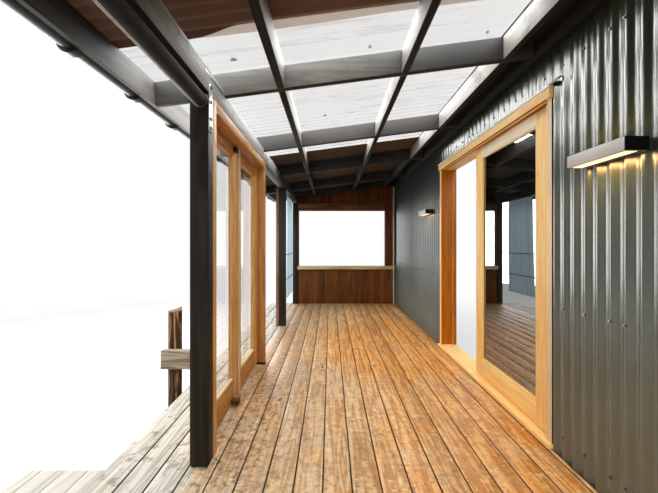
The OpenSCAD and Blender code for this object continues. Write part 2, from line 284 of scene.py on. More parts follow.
def make_soiling_group():
    """Patches of dirt and wear, from broad clouds broken up by finer ones."""
    tree, given, out = new_group(
        "soiling", {"Vector": None, "Scale": 3.0, "Cover": 0.5, "Softness": 0.12}, ("Mask", "Speckle"))
    broad = noise(given["Vector"], given["Scale"], 6.0, 0.62, 0.3)
    low = minus(1.0, given["Cover"])
    feed(out, Mask=band(broad, low, plus(low, given["Softness"])),
         Speckle=noise(given["Vector"], times(given["Scale"], 22.0), 2.0))
    return tree


FIGURE = make_figure_group()
LOTS = make_lots_group()
SOILING = make_soiling_group()


def grouped(group, place, **inputs):
    """Uses one of the node groups at a place, and gives back its outputs."""
    named = {name.replace("_", " "): value for name, value in inputs.items()}
    return put("Group", {"Vector": place, **named}, node_tree=group)


def soiling(place, scale, cover, softness=0.12):
    return grouped(SOILING, place, Scale=scale, Cover=cover, Softness=softness)


def patches(place, scale, cover, softness=0.12):
    return soiling(place, scale, cover, softness)["Mask"]


def bump(height, relief):
    return put("Bump", {"Height": height, "Distance": relief, "Strength": 1.0})[0]


def new_material(name, roughness, specular=0.5, **plain):
    """A material, its Principled shader with some plain inputs, and its Object coordinates."""
    material = bpy.data.materials.new(name)
    material.use_nodes = True
    shader = material.node_tree.nodes["Principled BSDF"]
    feed(shader, Roughness=roughness, Specular_IOR_Level=specular, **plain)
    return material, shader, add(material.node_tree, "TexCoord").outputs["Object"]


def timber(name, light, dark, run, roughness, growth=9.0, lines=5.0, fibre_share=0.3, relief=0.0006,
           knots=0.0, knot_tone=None, pitch=0.0, start=0.0, lot_swing=0.25, grime=None, grime_cover=0.0,
           grime_scale=3.0):
    """Sawn or dressed timber: two tones of figure, fibres, knots, board to board change and grime."""
    material, shader, place = new_material(name, roughness, 0.15)
    grain = turned(place, run)
    if pitch:
        lots = grouped(LOTS, grain, Pitch=pitch, Start=start)
        grain = lots["Own Place"]
    figure = grouped(FIGURE, grain, Growth=growth, Lines=lines)
    blended = plus(times(figure["Figure"], 1 - fibre_share), times(figure["Fibre"], fibre_share))
    colour = mix(blended, light, dark)
    if pitch:
        colour = shaded(colour, spread(lots["Lot"], 1 - lot_swing, 1 + lot_swing * 0.5))
    if knots:
        colour = overlay(colour, figure["Knots"], knots, knot_tone)
    if grime:
        colour = overlay(colour, patches(place, grime_scale, grime_cover), 0.8, grime)
    height = plus(times(figure["Fibre"], 0.7), times(figure["Figure"], 0.3))
    feed(shader, Base_Color=colour, Roughness=times_plus(figure["Fibre"], 0.25, roughness - 0.12),
         Normal=bump(height, relief))
    return material


BOARD_PITCH = 0.145
BOARD_GAP = 0.005
BUTT_GAP = 0.003
FIRST_GAP = -0.037 + EYE_X
# Where boards meet end to end, by board number from the first gap
SEEN_JOINTS = {-2: [0.677], 0: [0.255], 1: [-0.578]}


def make_decking():
    """Worn decking: sandy boards, ochre towards the wall, darker on the left further along, silvered
    outside the posts, stained all over, with grit and painted shade along the gaps.
    """
    material, shader, place = new_material("worn_decking", 0.5, 0.15)
    lots = grouped(LOTS, place, Pitch=BOARD_PITCH, Start=FIRST_GAP)
    own_place = lots["Own Place"]
    figure = grouped(FIGURE, own_place, Growth=16.0, Fibre=180.0, Knot_Spacing=0.3, Knot_Size=0.05)
    blended = times_plus(figure["Fibre"], 0.5, times(figure["Figure"], 0.4))
    sandy = ramp(blended, (0.15, (246, 216, 170)), (0.45, (228, 188, 138)), (0.75, (188, 144, 96)))
    ochre = ramp(blended, (0.15, (246, 190, 108)), (0.45, (228, 156, 74)), (0.75, (184, 112, 40)))
    silver = ramp(blended, (0.1, (228, 224, 214)), (0.5, (204, 198, 184)), (0.85, (146, 136, 118)))
    x, y, _ = separate(place)
    left_side = band(x, 0.4, -0.4)

    warmth = soiling(own_place, 2.4, 0.52, 0.16)
    sheltered = times(band(distance(place, (0.75, 1.3, DECK_TOP)), 1.3, 0.4), 0.85)
    warm = times_plus(band(x, -0.1, 1.0), 0.6, sheltered)
    colour = mix(times_plus(warmth["Mask"], 0.4, warm), sandy, ochre)
    colour = shaded(colour, spread(lots["Lot"], 0.84, 1.0))

    dusty = times(patches(place, 3.4, 0.5, 0.14), times_plus(left_side, 0.4, 0.2))
    trodden = times(left_side, band(y, -0.4, -1.2))
    dusty = times_plus(trodden, 0.4, dusty)
    colour = mix(maths("MINIMUM", dusty, 0.9), colour, (194, 180, 154))
    # Darker and browner on the left side further along the deck
    left_further_in = times(left_side, band(y, -0.7, 0.3))
    colour = overlay(colour, left_further_in, 0.45, (164, 118, 70))
    colour = shaded(colour, spread(noise(place, 38.0, 4.0, 0.7), 0.72, 1.2, 0.3, 0.7))

    stains = soiling(place, 15.0, 0.48, 0.1)
    flecks = patches(place, 34.0, 0.4, 0.07)
    litter = times(band(x, 0.05, -0.35), patches(place, 34.0, 0.5, 0.1))
    for mask, share, over in ((stains["Mask"], 0.42, (150, 112, 64)),
                              (patches(own_place, 17.0, 0.42, 0.1), 0.45, (250, 226, 178)),
                              (flecks, 0.6, (104, 72, 42)),
                              (figure["Knots"], 0.8, (90, 56, 30)),
                              (litter, 0.6, (104, 76, 44))):
        colour = overlay(colour, mask, share, over)

    silver = overlay(silver, patches(place, 16.0, 0.48, 0.14), 0.75, (126, 112, 92))
    outside = band(times_plus(warmth["Speckle"], 0.1, x), -0.42, -0.56)
    colour = mix(outside, colour, silver)
    # Dark board edges: grit and painted shade of the gaps, widened outside the posts
    gap_grit_and_shade = band(times_plus(outside, 0.02, lots["Edge"]), 0.918, 0.965)
    colour = overlay(colour, gap_grit_and_shade, 0.92, (46, 30, 18))
    dull = times_plus(outside, 0.2, 0.36)
    height = plus(times(figure["Fibre"], 0.8), times(flecks, -0.3))
    feed(shader, Base_Color=colour, Roughness=times_plus(stains["Speckle"], 0.3, dull),
         Normal=bump(height, 0.0012))
    return material


def paint_metal(name, colour, roughness, chalk, chalk_share, metallic=0.0, scale=4.0, specular=0.3):
    """Painted or bare sheet metal with chalky patches and a fine speckle in its roughness and bump."""
    material, shader, place = new_material(name, roughness, specular, Metallic=metallic)
    soil = soiling(place, scale, 0.5, 0.25)
    feed(shader, Base_Color=overlay(colour, soil["Mask"], chalk_share, chalk),
         Roughness=spread(soil["Speckle"], roughness - 0.08, roughness + 0.12),
         Normal=bump(soil["Speckle"], 0.0002))
    return material


def make_glass(name, tint, roughness=0.02, specular=0.5, index=1.45):
    """Thin pane: mostly clear, with a clear reflection."""
    material, shader, place = new_material(name, roughness, specular, Base_Color=tint,
                                           Transmission_Weight=1.0, IOR=index)
    smear = patches(place, 2.0, 0.45, 0.3)
    feed(shader, Roughness=spread(smear, roughness, roughness + 0.04))
    return material


CLEAR_FROM = -1.024
CLEAR_TO = 1.234
# Place across, place along and size of the dirt spots that lie on the clear sheets
DIRT_SPOTS = [(-0.37, -0.756, 0.024), (0.43, -0.71, 0.014), (0.144, 0.227, 0.016), (0.385, 0.239, 0.014),
              (0.954, -0.812, 0.016), (1.136, -0.705, 0.011), (0.867, -0.944, 0.012)]


def make_clear_roofing():
    """Clear corrugated sheet: milky with dirt, tanned and then brown at its near edge, with a few spots."""
    material, shader, place = new_material("clear_sheet", 0.5, 0.0)
    grime = soiling(stretched(place, (0.12, 1.8, 1)), 9.0, 0.5, 0.3)
    colour = mix(times(grime["Mask"], 0.6), (216, 223, 228), (176, 182, 184))
    dirt = None
    for x, y, reach in DIRT_SPOTS:
        apart = distance(place, (x, y, under_roof(x) + RAFTER_RISE))
        spot = band(times_plus(grime["Speckle"], -0.012, apart), reach, reach * 0.3)
        dirt = spot if dirt is None else larger(dirt, spot)
    colour = overlay(colour, dirt, 0.85, (110, 106, 98))
    x, y, _ = separate(place)
    beside_beam = band(x, -0.19, -0.54)
    lap_end = times_plus(beside_beam, -0.027, -0.958)
    lap_end = times_plus(band(x, -0.1, 0.5), -0.034, lap_end)
    lap = band(minus(y, lap_end), 0.005, -0.005)
    colour = mix(lap, colour, (206, 184, 152))
    brown_end = times_plus(beside_beam, 0.045, -1.03)
    brown = band(minus(y, brown_end), 0.003, -0.003)
    solid = larger(spread(grime["Mask"], 0.16, 0.36), times(dirt, 0.6))
    solid = larger(larger(solid, times(lap, 0.5)), brown)
    feed(shader, Base_Color=mix(brown, colour, (104, 80, 68)), Alpha=solid)
    return material


def make_cladding_paint(name, paint, specular, coat):
    """Dark glossy paint on corrugated steel, with dust that dulls it low down."""
    material, shader, place = new_material(name, 0.3, specular, Coat_Weight=coat, Coat_Roughness=0.2)
    soil = patches(place, 2.2, 0.5, 0.3)
    low_down = times(band(separate(place)["Z"], 1.7, 0.6), 0.36)
    feed(shader, Base_Color=mix(times_plus(soil, 0.12, low_down), paint, (136, 138, 124)),
         Roughness=spread(soil, 0.28, 0.36))
    return material


def make_lens():
    material, shader, place = new_material("lit_lens", 0.4, Emission_Strength=1.3)
    colour = mix(patches(place, 20.0, 0.5, 0.4), (255, 236, 190), (255, 226, 168))
    feed(shader, Base_Color=colour, Emission_Color=colour)
    return material


def make_eave_stain_and_painted_light(name, pale, deep, near, far):
    """Grey stained timber along the eave with painted light: pale where lit under the clear sheets, near
    black with painted shade past them.
    """
    material, shader, place = new_material(name, 0.65, 0.2)
    figure = grouped(FIGURE, place, Growth=10.0)
    grain = times_plus(figure["Fibre"], 0.4, times(figure["Figure"], 0.6))
    lit_grey = overlay(mix(grain, pale, deep), patches(place, 5.0, 0.46, 0.16), 0.6, (98, 98, 94))
    dark = mix(grain, (66, 67, 64), (40, 41, 40))
    length = separate(place)["Y"]
    lit = times(band(length, *near), band(length, *far))
    # Lit and shaded copies of the grey, chosen by the place along Y
    feed(shader, Base_Color=mix(lit, dark, lit_grey), Normal=bump(grain, 0.0006))
    return material


def make_rafter_stain_and_painted_shade():
    """Grey stained rafters with painted light: pale where lit under the clear sheets, with painted shade
    towards the wall, further in and in the blind's shadow.
    """
    material, shader, place = new_material("grey_rafter_painted_shade", 0.65, 0.2)
    figure = grouped(FIGURE, turned(place, "x"), Growth=10.0, Knot_Size=0.05)
    x, y, _ = separate(place)
    blind_shadow = times(band(x, -0.52, -0.6), band(y, 0.0, -0.4))
    colour = mix(figure["Figure"], (172, 169, 163), (146, 143, 138))
    # Painted shade towards the wall, further in and under the blind; the patches and knots are the timber's
    # own
    for mask, share, over in ((band(x, 0.1, 1.0), 0.95, (44, 43, 41)),
                              (band(y, -0.3, 0.4), 0.88, (72, 69, 65)),
                              (blind_shadow, 0.7, (70, 69, 66)),
                              (patches(place, 6.0, 0.44, 0.2), 0.4, (70, 67, 63)),
                              (figure["Knots"], 0.5, (60, 56, 52))):
        colour = overlay(colour, mask, share, over)
    feed(shader, Base_Color=colour, Normal=bump(figure["Fibre"], 0.0006))
    return material


def make_cloth(name, colour, fold, weave, through=0.0):
    """Woven cloth with its threads in bump and painted shade in its creases. through is a painted glow that
    stands in for the daylight that comes through thin cloth.
    """
    material, shader, place = new_material(name, 0.9, 0.15)
    threads = stretched(place, (weave, weave, weave))
    across, along = (put("TexWave", {"Vector": threads, "Scale": 1.0}, wave_type="BANDS",
                         bands_direction=axis)["Fac"] for axis in "ZY")
    woven = times(across, along)
    crease_shade = patches(stretched(place, (0.2, 6.0, 0.25)), 3.0, 0.5, 0.2)
    shade = overlay(overlay(colour, crease_shade, 0.6, fold), woven, 0.06, grey(0.9))
    feed(shader, Base_Color=shade, Normal=bump(woven, 0.0002))
    # Painted glow: the cloth's own colour given off as light
    if through:
        feed(shader, Emission_Color=shade, Emission_Strength=through)
    return material


def make_log_wood():
    """Dark weathered log: upright streaks, a pale chipped rim at its top and a darker foot."""
    material, shader, place = new_material("weathered_log", 0.85, 0.15)
    figure = grouped(FIGURE, turned(place, "z"), Growth=26.0, Lines=4.0, Fibre=120.0)
    cracks = soiling(stretched(place, (1, 1, 0.12)), 26.0, 0.5, 0.05)
    grain = times_plus(figure["Fibre"], 0.5, times(figure["Figure"], 0.5))
    colour = mix(band(grain, 0.3, 0.6), (192, 154, 112), (74, 54, 32))
    colour = overlay(colour, cracks["Mask"], 0.62, (46, 32, 19))
    height = separate(place)["Z"]
    colour = overlay(colour, band(height, 0.72, 0.5), 0.45, (48, 34, 22))
    rim = band(times_plus(cracks["Speckle"], 0.06, height), 1.03, 1.06)
    feed(shader, Base_Color=mix(rim, colour, (226, 214, 190)),
         Normal=bump(minus(grain, cracks["Mask"]), 0.003))
    return material


def make_finishes():
    cedar = ((255, 222, 146), (246, 188, 108))
    framing = ((176, 156, 120), (128, 106, 76))
    dressed = {"growth": 30.0, "lines": 3.0, "fibre_share": 0.5, "relief": 0.0003}
    stained = {"growth": 14.0, "lines": 3.0}
    boarded = {**stained, "pitch": END_BOARD, "start": POST_IN}
    return {
        "decking": make_decking(),
        "step": timber("bleached_step", (218, 214, 203), (186, 179, 165), "y", 0.75, pitch=BOARD_PITCH,
                       start=FIRST_GAP, lot_swing=0.08, grime=(132, 108, 80), grime_cover=0.3,
                       grime_scale=4.0, knots=0.5, knot_tone=(150, 136, 118)),
        "framing": timber("rough_framing", *framing, "y", 0.8, relief=0.001),
        "framing_x": timber("rough_framing_across", *framing, "x", 0.8, relief=0.001),
        "silvered": timber("silvered_edge", (188, 182, 170), (128, 120, 106), "y", 0.8, relief=0.0012,
                           grime=(84, 80, 66), grime_cover=0.38),
        "silvered_x": timber("silvered_sleeper", (196, 184, 164), (120, 102, 78), "x", 0.8, growth=12.0,
                             lines=7.0, relief=0.002, grime=(92, 78, 56), grime_cover=0.36, knots=0.6,
                             knot_tone=(70, 54, 38)),
        "post": timber("black_stained_post", (46, 40, 31), (28, 24, 19), "z", 0.5, growth=8.0,
                       relief=0.0005, grime=(58, 52, 42), grime_cover=0.36),
        "ledger": timber("black_stained_ledger", (28, 26, 23), (16, 15, 13), "y", 0.7),
        # Painted light: beam, fascia and blocking are pale where lit under the clear sheets, with painted
        # shade past them
        "beam": make_eave_stain_and_painted_light("beam_painted_light", (180, 184, 182), (144, 148, 146), (-1.75, -1.15),
                                (1.7, 0.9)),
        "fascia": make_eave_stain_and_painted_light("fascia_painted_light", (166, 167, 163), (134, 136, 133), (-1.15, -0.7),
                                  (1.5, 0.5)),
        "blocking": make_eave_stain_and_painted_light("blocking_painted_light", (156, 154, 149), (132, 130, 124), (-1.6, -0.8),
                                    (1.75, 1.2)),
        "blocking_wall": make_eave_stain_and_painted_light("wall_blocking_painted_light", (194, 192, 186), (164, 162, 155),
                                         (-1.6, -0.8), (1.9, 1.3)),
        # Painted shade: dark copies of the timber for undersides, for rafters away from the clear sheets
        # and for the gap at the wall
        "dark_y": timber("painted_shade_along", (46, 42, 37), (28, 26, 23), "y", 0.7, growth=10.0,
                         relief=0.0005),
        "grey_x": make_rafter_stain_and_painted_shade(),
        "dark_x": timber("painted_shade_across", (60, 58, 56), (40, 39, 38), "x", 0.7, growth=10.0,
                         relief=0.0005),
        "zinc": paint_metal("galvanised", (196, 198, 196), 0.32, grey(0.35), 0.4, 1.0, 24.0),
        "pipe": paint_metal("pale_pipe", (176, 166, 152), 0.5, (120, 110, 96), 0.5, scale=6.0),
        "bolt": paint_metal("dull_bolt", (120, 118, 112), 0.4, (70, 60, 50), 0.4, 1.0, 60.0),
        "dark_steel": paint_metal("dark_flashing", (30, 31, 30), 0.45, (80, 80, 76), 0.12),
        # Painted highlight: the near-white flashing lip over the door
        "lip_highlight": paint_metal("lip_highlight", (252, 252, 248), 0.45, (214, 212, 204), 0.3),
        # Pale hem bar, also used as a painted highlight on the beam's top edge
        "hem_bar_and_highlight": paint_metal("pale_hem_bar_and_highlight", (176, 180, 164), 0.4, (120, 118, 108), 0.3),
        "brown_roof": paint_metal("brown_sheet", (112, 87, 74), 0.7, (140, 110, 88), 0.3, scale=2.5),
        # Painted shade: the same brown sheet, darker under the far roof where less light reaches
        "brown_roof_far": paint_metal("brown_sheet_painted_shade", (80, 68, 57), 0.7, (104, 90, 74), 0.4,
                                      scale=2.5),
        "clear_roof": make_clear_roofing(),
        "lining": paint_metal("painted_lining", (222, 220, 212), 0.7, (200, 196, 186), 0.3, scale=2.0),
        "cladding": make_cladding_paint("charcoal_sheet", (42, 52, 34), 0.5, 0.8),
        "cladding_far": make_cladding_paint("charcoal_sheet_dull", (46, 52, 51), 0.27, 0.0),
        "cedar_z": timber("cedar_upright", *cedar, "z", 0.5, **dressed),
        "cedar_y": timber("cedar_level", *cedar, "y", 0.5, **dressed),
        "cedar_bleached": timber("cedar_bleached", (255, 250, 222), (255, 226, 184), "y", 0.55,
                                 **dressed),
        # Painted shade: a shaded copy of the cedar
        "cedar_shade": timber("cedar_painted_shade", (188, 108, 0), (148, 78, 0), "z", 0.55, **dressed),
        "cedar_groove_shade": timber("cedar_groove_shade", (136, 72, 28), (96, 48, 16), "y", 0.7, relief=0.0002),
        "gold_z": timber("golden_cedar_upright", (238, 190, 122), (190, 138, 76), "z", 0.5, **dressed),
        "gold_deep": timber("golden_cedar_deep", (214, 158, 90), (160, 106, 50), "z", 0.5, **dressed),
        "gold_y": timber("golden_cedar_level", (212, 156, 86), (166, 110, 50), "y", 0.5, **dressed),
        "trim": timber("brown_trim", (158, 120, 88), (118, 86, 60), "z", 0.6),
        "bead": timber("pale_bead", (244, 222, 180), (222, 184, 128), "y", 0.5, relief=0.0002),
        "bead_z": timber("pale_bead_highlight", (250, 232, 196), (228, 196, 148), "z", 0.5, relief=0.0002),
        "jamb_end": timber("cream_jamb_end", (240, 216, 178), (226, 196, 150), "z", 0.6, growth=30.0,
                           lines=3.0, relief=0.0002),
        "glass": make_glass("clear_pane", (0.97, 0.985, 0.985, 1)),
        "door_glass": make_glass("tinted_pane", (0.1, 0.11, 0.1, 1), 0.01, 1.0, 3.0),
        "lamp": paint_metal("lamp_paint", (176, 172, 166), 0.42, (194, 190, 184), 0.3),
        "lamp_end": paint_metal("lamp_black", (8, 8, 9), 0.5, (24, 23, 22), 0.2, specular=0.15),
        "lens": make_lens(),
        "red_x": timber("red_stain_across", (118, 82, 56), (74, 48, 32), "x", 0.6, **stained),
        "red_z": timber("red_stain_upright", (112, 62, 34), (72, 38, 20), "z", 0.6, **boarded,
                        lot_swing=0.35),
        "low_wall": timber("brown_stain_upright", (122, 72, 28), (84, 47, 15), "z", 0.6, **boarded),
        "ledge": timber("worn_ledge", (224, 204, 160), (184, 156, 112), "x", 0.6, grime=(110, 94, 66),
                        grime_cover=0.36),
        "blind": make_cloth("blind_mesh", (34, 34, 32), (22, 22, 21), 900.0),
        "black_steel": paint_metal("black_rail", (20, 20, 20), 0.45, (60, 58, 54), 0.15),
        "curtain": make_cloth("pale_curtain", (196, 222, 238), (112, 152, 178), 700.0, 0.38),
        "log": make_log_wood(),
    }


FINISH = make_finishes()


# Small tools for shapes

def select_only(*objects):
    bpy.ops.object.select_all(action="DESELECT")
    for item in objects:
        item.select_set(True)
    bpy.context.view_layer.objects.active = objects[0]


def added(primitive, **settings):
    """Runs one of Blender's primitives and gives back its object, alone in the selection."""
    bpy.ops.object.select_all(action="DESELECT")
    primitive(**settings)
    return bpy.context.object


def settle(item):
    """Puts an object's place, turn and size into its mesh."""
    select_only(item)
    bpy.ops.object.transform_apply(location=True, rotation=True, scale=True)
    return item


def wear(item, finish):
    item.data.materials.clear()
    item.data.materials.append(FINISH[finish])
    return item


def repaint(item, finish, keep):
    """Gives another finish to the faces whose normal satisfies a test."""
    item.data.materials.append(FINISH[finish])
    for face in item.data.polygons:
        if keep(face.normal):
            face.material_index = len(item.data.materials) - 1
    return item


def pick_faces(item, keep):
    """Selects the faces whose normal satisfies a test, in object mode."""
    for group in (item.data.vertices, item.data.edges, item.data.polygons):
        for part in group:
            part.select = False
    for face in item.data.polygons:
        face.select = keep(face.normal)


def faces_near(normal):
    return normal.y < -0.8


def faces_out(normal):
    return normal.x < -0.8


def faces_down(normal):
    return normal.z < -0.8


def select_mesh():
    bpy.ops.mesh.select_all(action="SELECT")


def in_edit(item, *steps):
    """Runs edit-mode steps on one object."""
    select_only(item)
    bpy.ops.object.mode_set(mode="EDIT")
    bpy.ops.mesh.select_mode(type="FACE")
    for step in steps:
        step()
    bpy.ops.object.mode_set(mode="OBJECT")
    return item


def block(low, high, finish, ease=0.002, steps=2, rise=0.0):
    """A length of timber or bar between two corners, with eased edges. rise lifts its +X end."""
    middle = [(a + b) / 2 for a, b in zip(low, high)]
    size = [b - a for a, b in zip(low, high)]
    item = settle(added(bpy.ops.mesh.primitive_cube_add, size=1, location=middle, scale=size))
    if rise:
        pick_faces(item, lambda normal: normal.x > 0.9)
        in_edit(item, lambda: bpy.ops.transform.translate(value=(0, 0, rise)))
    if ease:
        in_edit(item, select_mesh, lambda: bpy.ops.mesh.bevel(offset=ease, segments=steps, affect="EDGES"))
    return wear(item, finish)


def rod(start, end, radius, finish, sides=32, ease=0.0):
    """A round bar between two points."""
    start, end = Vector(start), Vector(end)
    way = end - start
    item = settle(added(bpy.ops.mesh.primitive_cylinder_add, vertices=sides, radius=radius,
                        depth=way.length, location=(start + end) / 2,
                        rotation=way.to_track_quat("Z", "Y").to_euler()))
    if ease:
        axis = way.normalized()
        pick_faces(item, lambda normal: abs(normal.dot(axis)) > 0.9)
        in_edit(item, lambda: bpy.ops.mesh.bevel(offset=ease, segments=2, affect="EDGES"))
    return wear(item, finish)


def copied(item, shift):
    """The same shape again, with its own mesh, moved by a shift."""
    twin = item.copy()
    twin.data = item.data.copy()
    bpy.context.scene.collection.objects.link(twin)
    for vertex in twin.data.vertices:
        vertex.co += Vector(shift)
    return twin


def thicken(item, skin, offset):
    """Gives a flat sheet its thickness. An offset of 1 or -1 puts it all on one side."""
    select_only(item)
    solid = item.modifiers.new("skin", "SOLIDIFY")
    solid.thickness = skin
    solid.offset = offset
    bpy.ops.object.modifier_apply(modifier="skin")
    return item


def join(name, parts):
    """Joins parts into the first of them and leaves it as the only selected object."""
    select_only(*parts)
    if len(parts) > 1:
        bpy.ops.object.join()
    item = bpy.context.view_layer.objects.active
    item.name = name
    item.data.name = name
    return item


def place_piece(name, parts, slot, *nodes, body=HOUSE, smooth=32):
    """Joins a piece's parts, shades it smooth, hides the nodes it stands for and hangs it on its body. slot
    is not used.
    """
    item = join(name, parts)
    bpy.ops.object.shade_smooth_by_angle(angle=math.radians(smooth))
    if nodes:
        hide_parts(*nodes)
    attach(item, body)
    return item


def node_box(name):
    low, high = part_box(name)
    return [round(v, 5) for v in low], [round(v, 5) for v in high]


def place_plain(name, node, finish, slot, ease, steps=2):
    """A piece that is one eased block of its node's size."""
    low, high = node_box(node)
    place_piece(name, [block(low, high, finish, ease, steps)], slot, node)


def up(metres):
    """A height over the deck, as a height over the ground."""
    return metres + DECK_TOP


# Deck

DECK_BOARDS = range(-9, 11)
STEP_BOARDS = 5
THIN_BOARD = 0.01


def row_of_boards(low, high, starts, cuts, finish):
    """Boards along Y between low and high, from given places along X, with butt joints at their cuts."""
    parts = []
    for start, joints in zip(starts, cuts):
        left = max(start + BOARD_GAP / 2, low[0])
        right = min(start + BOARD_PITCH - BOARD_GAP / 2, high[0])
        if right - left <= THIN_BOARD:
            continue
        ends = [low[1], *joints, high[1]]
        for near, far in zip(ends[:-1], ends[1:]):
            near += BUTT_GAP if near > low[1] else 0
            parts.append(block((left, near, low[2]), (right, far, high[2]), finish, 0.003))
    return parts


def make_deck():
    low, high = node_box("deck_boards")
    starts = [FIRST_GAP + BOARD_PITCH * n for n in DECK_BOARDS]
    cuts = [SEEN_JOINTS.get(n, [1.4 + 0.8 * (n * 2 % 3) - 4.4 * (n % 2)]) for n in DECK_BOARDS]
    place_piece("deck_planks", row_of_boards(low, high, starts, cuts, "decking"), "honey_decking",
                "deck_boards")
    low, high = node_box("step_boards")
    starts = [high[0] - BOARD_PITCH * (n + 1) for n in range(STEP_BOARDS)]
    place_piece("step_planks", row_of_boards(low, high, starts, [[]] * STEP_BOARDS, "step"),
                "weathered_timber", "step_boards")
    place_plain("deck_rim_board", "deck_edge_board", "silvered", "weathered_timber", 0.003)


# Posts, beam and roof

POST_FRONTS = [-3.91, -0.91, 2.09, 3.86]
POST_OUT = -0.5625
POST_DEPTH = 0.075
SHOE_RISE = 0.008
SHOE_INSET = 0.005
STRAP_BOLTS = (2.05, 1.97, 1.88, 1.83)
BEAM_LOW = 2.417
RAFTER_FRONTS = [-3.96] + [-3.016 + 1.185 * n for n in range(6)] + [3.915]
RAFTER_LEFT = -0.8935
RAFTER_RIGHT = 1.4465
# Beyond this line the rafters run in the dark gap at the wall, and are painted as shade there
RAFTER_SHADE = 1.304
BLOCKING_X = [1.2815, 0.6555, -0.1135]
STICK = 0.045


def make_posts():
    parts = []
    shoe_top = DECK_TOP + SHOE_RISE
    for front in POST_FRONTS:
        back = front + POST_DEPTH
        parts.append(block((POST_OUT, front, shoe_top), (POST_IN, back, BEAM_LOW), "post", 0.004, 3))
        parts.append(block((POST_OUT + SHOE_INSET, front + SHOE_INSET, DECK_TOP),
                           (POST_IN - SHOE_INSET, back - SHOE_INSET, shoe_top), "dark_steel", 0.001))
    place_piece("verandah_posts", parts, "black_timber", "posts")
    place_plain("post_cedar_strip", "post_trim", "trim", "cedar_joinery", 0.002)


def make_strap():
    low, high = node_box("post_strap")
    middle = (low[1] + high[1]) / 2
    parts = [block(low, high, "zinc", 0.001)]
    for height in STRAP_BOLTS:
        seat = (high[0], middle, up(height))
        parts.append(rod(seat, (high[0] + 0.008, middle, up(height)), 0.011, "bolt", 6, 0.001))
        parts.append(rod(seat, (high[0] + 0.002, middle, up(height)), 0.016, "zinc", 24))
    place_piece("post_strap_bolted", parts, "zinc_steel", "post_strap")


def sloped(left, right, front, back, finish, underside_shade):
    """A timber cut to the roof's slope, with a dark finish underneath as painted shade."""
    low = under_roof(left)
    item = block((left, front, low), (right, back, low + RAFTER_RISE), finish, 0.0025, 2,
                 ROOF_FALL * (right - left))
    return repaint(item, underside_shade, faces_down)


def make_roof_frame():
    low, high = node_box("eave_beam")
    face = high[0]
    # The beam's underside is painted shade
    beam = repaint(block(low, high, "beam", 0.003), "dark_y", faces_down)
    strip = block((face - 0.001, -0.955, up(2.105)), (face + 0.002, -0.671, up(2.122)), "bolt", 0.0008, 1)
    # A pale strip along the beam's top edge is a painted highlight
    beam_top_highlight = block((face - 0.001, -1.75, high[2] - 0.007), (face + 0.0015, -0.87, high[2] - 0.002),
                      "hem_bar_and_highlight", 0.0006, 1)
    place_piece("eave_beam_stained", [beam, strip, beam_top_highlight], "grey_timber", "eave_beam")
    parts = []
    for front in RAFTER_FRONTS:
        # Rafters outside the clear sheets, their ends at the wall and every underside are painted shade
        seen = "grey_x" if CLEAR_FROM < front < CLEAR_TO else "dark_x"
        parts.append(sloped(RAFTER_LEFT, RAFTER_SHADE, front, front + STICK, seen, "dark_x"))
        parts.append(sloped(RAFTER_SHADE, RAFTER_RIGHT, front, front + STICK, "dark_x", "dark_x"))
    place_piece("roof_rafters", parts, "grey_timber", "rafters")
    parts = []
    for near, far in zip(RAFTER_FRONTS[:-1], RAFTER_FRONTS[1:]):
        for x in BLOCKING_X:
            finish = "blocking_wall" if x == BLOCKING_X[0] else "blocking"
            parts.append(sloped(x - STICK / 2, x + STICK / 2, near + STICK, far, finish, "dark_y"))
    place_piece("roof_blocking", parts, "grey_timber", "purlins")
    place_plain("ledger_board", "wall_ledger", "ledger", "black_timber", 0.003)


# Corrugated sheets

WAVE = 0.0762
WAVE_DEEP = 0.017
WAVE_ZERO = -3.96
WALL_WAVE_STEPS = 14
ROOF_WAVE_STEPS = 12
SHEET_SKIN = 0.0012
SHEET_LIFT = 0.0005
CLADDING_LAP = 0.012
EAVE_X = -0.9485
SCREW_HEIGHTS = (0.12, 0.84, 2.2)
DOOR_SCREWS_BELOW = 2.15


def wave_sheet(start, end, per_wave, shape, finish):
    """A corrugated sheet. shape gives each point from its side of the sheet, its Y and its depth."""
    count = max(2, round((end - start) / WAVE * per_wave))
    item = added(bpy.ops.mesh.primitive_grid_add, x_subdivisions=1, y_subdivisions=count, size=1)
    swing = (WAVE_DEEP - SHEET_SKIN) / 2
    for vertex in item.data.vertices:
        y = start + (vertex.co.y + 0.5) * (end - start)
        deep = swing - swing * math.cos(math.tau * (y - WAVE_ZERO) / WAVE)
        vertex.co = shape(vertex.co.x > 0, y, deep)
    return wear(item, finish)


def make_cladding():
    low, high = node_box("wall_cladding")
    jamb_low, jamb_high = node_box("door_jambs")
    over_head = node_box("door_head")[1][2] + CLADDING_LAP
    parts = []
    for start, end, foot, top, finish in (
            (low[1], jamb_low[1], low[2], high[2], "cladding"),
            (jamb_high[1], high[1], low[2], high[2], "cladding_far"),
            (jamb_low[1], jamb_high[1], over_head, high[2], "cladding"),
            (jamb_low[1], jamb_high[1], low[2], DECK_TOP, "cladding")):
        def shape(far_side, y, deep, foot=foot, top=top):
            return (WALL_X + deep, y, top if far_side else foot)
        sheet = wave_sheet(start, end, WALL_WAVE_STEPS, shape, finish)
        in_edit(sheet, select_mesh, lambda: bpy.ops.mesh.normals_make_consistent(inside=False))
        if sheet.data.polygons[0].normal.x > 0:
            sheet.data.flip_normals()
        parts.append(thicken(sheet, SHEET_SKIN, -1))
    place_piece("corrugated_wall", parts, "charcoal_cladding", "wall_cladding", smooth=50)


